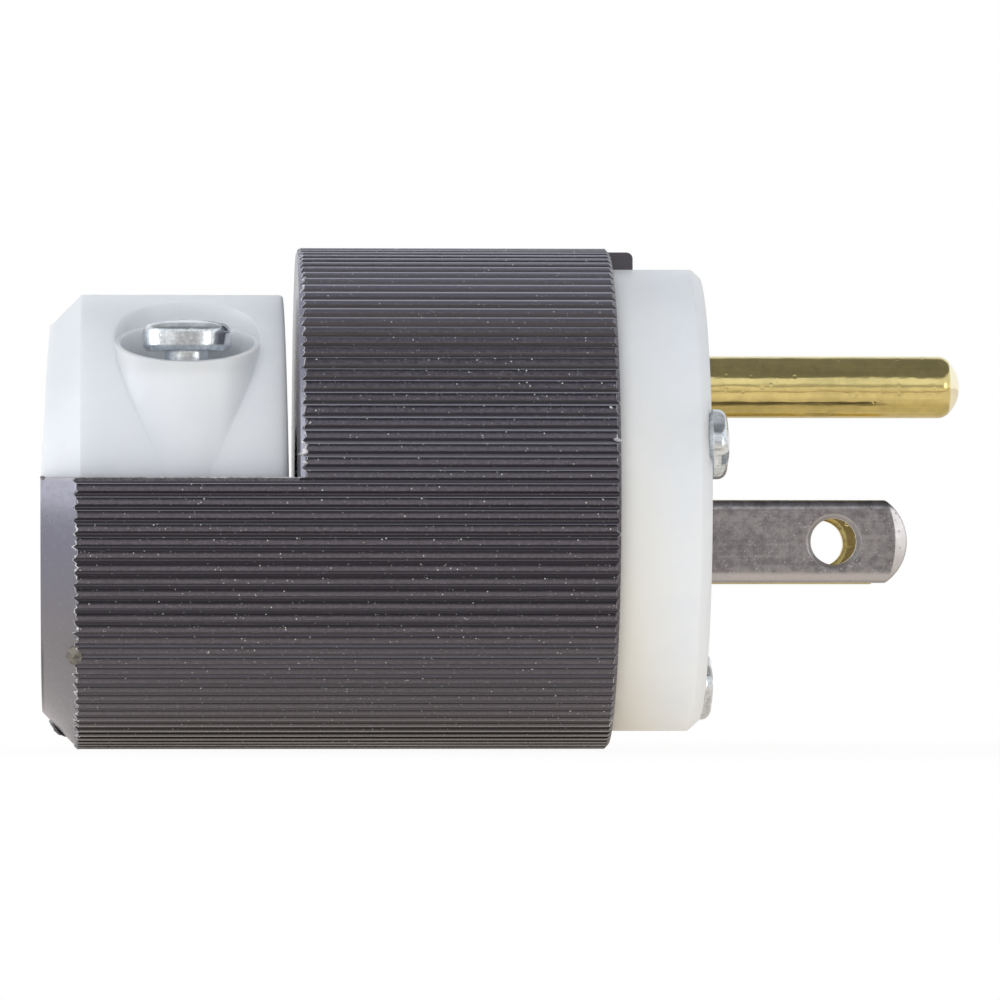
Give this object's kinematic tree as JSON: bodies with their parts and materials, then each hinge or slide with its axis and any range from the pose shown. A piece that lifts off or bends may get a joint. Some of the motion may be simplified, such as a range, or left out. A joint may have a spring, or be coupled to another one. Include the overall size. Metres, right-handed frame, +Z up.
{
  "type": "type b plug",
  "caption": "Straight grounded mains plug with a ribbed charcoal housing, white face, flat blades, round brass ground pin and a white screwed cord clamp.",
  "frame": {"origin": "centre of the housing's axis in the plane of the front face", "axes": "+X out of the face along the prongs, +Z up towards the ground pin, -Y towards the neutral blade"},
  "size_m": [0.0709, 0.0386, 0.0386],
  "materials": {
    "charcoal_nylon": "satin",
    "white_nylon": "satin",
    "nickel": "satin",
    "brass": "satin",
    "zinc_steel": "satin",
    "green_steel": "satin"
  },
  "bodies": {
    "root": {"rear_housing": "charcoal_nylon", "cord_clamp": "white_nylon", "blade_holder": "white_nylon", "terminal_cover": "white_nylon", "neutral_blade": "nickel", "line_blade": "brass", "ground_pin": "brass", "assembly_screw_1": "zinc_steel", "assembly_screw_2": "zinc_steel", "assembly_screw_3": "zinc_steel", "clamp_screw_1": "zinc_steel", "clamp_screw_2": "zinc_steel", "threaded_insert_1": "brass", "threaded_insert_2": "brass", "threaded_insert_3": "brass", "clamp_insert_1": "brass", "clamp_insert_2": "brass", "neutral_terminal_screw": "nickel", "line_terminal_screw": "brass", "ground_terminal_screw": "green_steel", "neutral_wire_clamp": "nickel", "line_wire_clamp": "brass", "ground_wire_clamp": "brass"}
  },
  "joints": []
}
